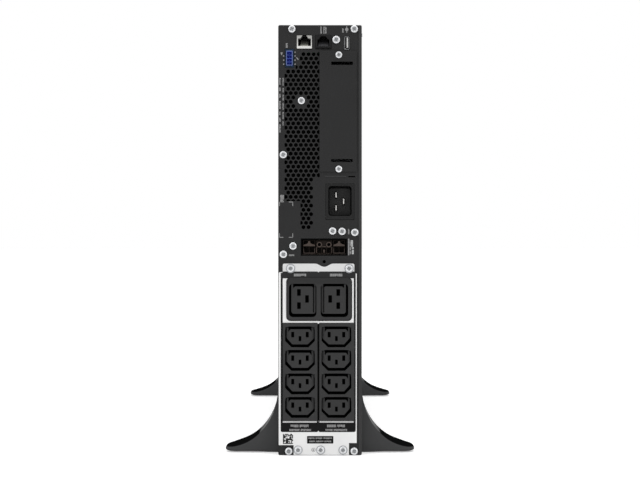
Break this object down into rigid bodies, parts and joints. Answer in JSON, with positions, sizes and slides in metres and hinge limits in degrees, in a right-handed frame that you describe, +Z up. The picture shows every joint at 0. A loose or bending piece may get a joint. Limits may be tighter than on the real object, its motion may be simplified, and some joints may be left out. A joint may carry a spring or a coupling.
{
  "type": "rackmount ups",
  "caption": "Slim metal-cased uninterruptible power supply standing as a tower on splayed feet, with a vented rear panel of outlets, jacks and a power inlet, and a pull-out battery.",
  "frame": {"origin": "centre of the bottom of the whole unit, on the floor it stands on", "axes": "+X to the right when looking at the rear panel, +Y from the rear panel towards the front bezel, +Z up in tower orientation"},
  "size_m": [0.1926, 0.635, 0.432],
  "materials": {
    "case_steel": "satin",
    "cover_steel": "satin",
    "zinc_sheet": "satin",
    "plate_white": "matte",
    "outlet_plastic": "satin",
    "connector_plastic": "matte",
    "battery_connector_plastic": "satin",
    "jack_shield": "satin",
    "screw_nickel": "satin",
    "epo_blue": "satin",
    "foot_plastic": "satin",
    "bezel_plastic": "satin",
    "display_lens": "gloss",
    "key_plastic": "matte",
    "board": "satin",
    "heatsink_aluminium": "satin",
    "transformer_core": "matte",
    "capacitor_sleeve": "satin",
    "fan_plastic": "satin",
    "battery_cell_plastic": "matte",
    "strap_nylon": "matte",
    "cable_red": "satin",
    "cable_black": "satin"
  },
  "bodies": {
    "chassis": {"chassis_base": "case_steel", "rear_panel": "case_steel", "side_cover": "cover_steel", "slot_card_cage": "zinc_sheet", "display_bracket": "zinc_sheet", "battery_divider": "zinc_sheet", "fan_bracket": "zinc_sheet", "outlet_plate": "plate_white", "c19_outlet_pair": "outlet_plastic", "c13_outlet_strip_left": "outlet_plastic", "c13_outlet_strip_right": "outlet_plastic", "ac_inlet": "connector_plastic", "serial_jack": "connector_plastic", "epo_header": "connector_plastic", "battery_socket": "connector_plastic", "external_battery_connector": "battery_connector_plastic", "network_jack": "jack_shield", "usb_port": "jack_shield", "cover_screw_top_left": "screw_nickel", "cover_screw_top_right": "screw_nickel", "cover_screw_bottom_left": "screw_nickel", "cover_screw_bottom_right": "screw_nickel", "plate_screw_left": "screw_nickel", "plate_screw_right": "screw_nickel", "foot_rear_left": "foot_plastic", "foot_rear_right": "foot_plastic", "foot_front_left": "foot_plastic", "foot_front_right": "foot_plastic", "power_board": "board", "comms_board": "board", "heatsink_input": "heatsink_aluminium", "heatsink_output": "heatsink_aluminium", "transformer": "transformer_core", "capacitor_bank": "capacitor_sleeve", "fan_frame_upper": "fan_plastic", "fan_frame_lower": "fan_plastic", "dc_cable_positive": "cable_red", "dc_cable_negative": "cable_black"},
    "bezel": {"front_bezel": "bezel_plastic"},
    "display": {"display_housing": "bezel_plastic", "display_lens": "display_lens"},
    "power_key": {"key_power": "key_plastic"},
    "mute_key": {"key_mute": "key_plastic"},
    "escape_key": {"key_escape": "key_plastic"},
    "up_key": {"key_up": "key_plastic"},
    "down_key": {"key_down": "key_plastic"},
    "ok_key": {"key_ok": "key_plastic"},
    "door": {"battery_door": "zinc_sheet"},
    "thumb_upper": {"thumbscrew_upper": "screw_nickel"},
    "thumb_lower": {"thumbscrew_lower": "screw_nickel"},
    "battery": {"battery_case": "zinc_sheet", "battery_cells": "battery_cell_plastic", "battery_strap": "strap_nylon", "battery_plug": "connector_plastic"},
    "rotor_upper": {"fan_rotor_upper": "fan_plastic"},
    "rotor_lower": {"fan_rotor_lower": "fan_plastic"},
    "card_cover": {"slot_cover": "case_steel", "slot_screw_top": "screw_nickel", "slot_screw_bottom": "screw_nickel"},
    "epo": {"epo_plug": "epo_blue"}
  },
  "joints": [
    {"name": "bezel_pull", "type": "slide", "parent": "chassis", "child": "bezel", "axis": [0, 1, 0], "range_m": [0, 0.5]},
    {"name": "door_pull", "type": "slide", "parent": "chassis", "child": "door", "axis": [0, 1, 0], "range_m": [0, 0.45]},
    {"name": "battery_slide", "type": "slide", "parent": "chassis", "child": "battery", "axis": [0, 1, 0], "range_m": [0, 0.4]},
    {"name": "thumb_upper_turn", "type": "hinge", "parent": "door", "child": "thumb_upper", "pos_m": [0, 0.2738, 0.2245], "axis": [0, 1, 0], "continuous": true},
    {"name": "thumb_lower_turn", "type": "hinge", "parent": "door", "child": "thumb_lower", "pos_m": [0, 0.2738, 0.0084], "axis": [0, 1, 0], "continuous": true},
    {"name": "display_tilt", "type": "hinge", "parent": "chassis", "child": "display", "pos_m": [0, 0.3085, 0.403], "axis": [1, 0, 0], "range_deg": [0, 20]},
    {"name": "power_press", "type": "slide", "parent": "display", "child": "power_key", "axis": [0, -1, 0], "range_m": [0, 0.001]},
    {"name": "mute_press", "type": "slide", "parent": "display", "child": "mute_key", "axis": [0, -1, 0], "range_m": [0, 0.001]},
    {"name": "escape_press", "type": "slide", "parent": "display", "child": "escape_key", "axis": [0, -1, 0], "range_m": [0, 0.001]},
    {"name": "up_press", "type": "slide", "parent": "display", "child": "up_key", "axis": [0, -1, 0], "range_m": [0, 0.001]},
    {"name": "down_press", "type": "slide", "parent": "display", "child": "down_key", "axis": [0, -1, 0], "range_m": [0, 0.001]},
    {"name": "ok_press", "type": "slide", "parent": "display", "child": "ok_key", "axis": [0, -1, 0], "range_m": [0, 0.001]},
    {"name": "fan_upper_spin", "type": "hinge", "parent": "chassis", "child": "rotor_upper", "pos_m": [0, 0.2364, 0.347], "axis": [0, 1, 0], "continuous": true},
    {"name": "fan_lower_spin", "type": "hinge", "parent": "chassis", "child": "rotor_lower", "pos_m": [0, 0.2364, 0.263], "axis": [0, 1, 0], "continuous": true},
    {"name": "card_cover_pull", "type": "slide", "parent": "chassis", "child": "card_cover", "axis": [0, -1, 0], "range_m": [0, 0.03]},
    {"name": "epo_plug_pull", "type": "slide", "parent": "chassis", "child": "epo", "axis": [0, -1, 0], "range_m": [0, 0.02]}
  ],
  "couplings": [
    {"joint": "door_pull", "follows": "bezel_pull", "ratio": 0.9},
    {"joint": "battery_slide", "follows": "bezel_pull", "ratio": 0.8}
  ]
}
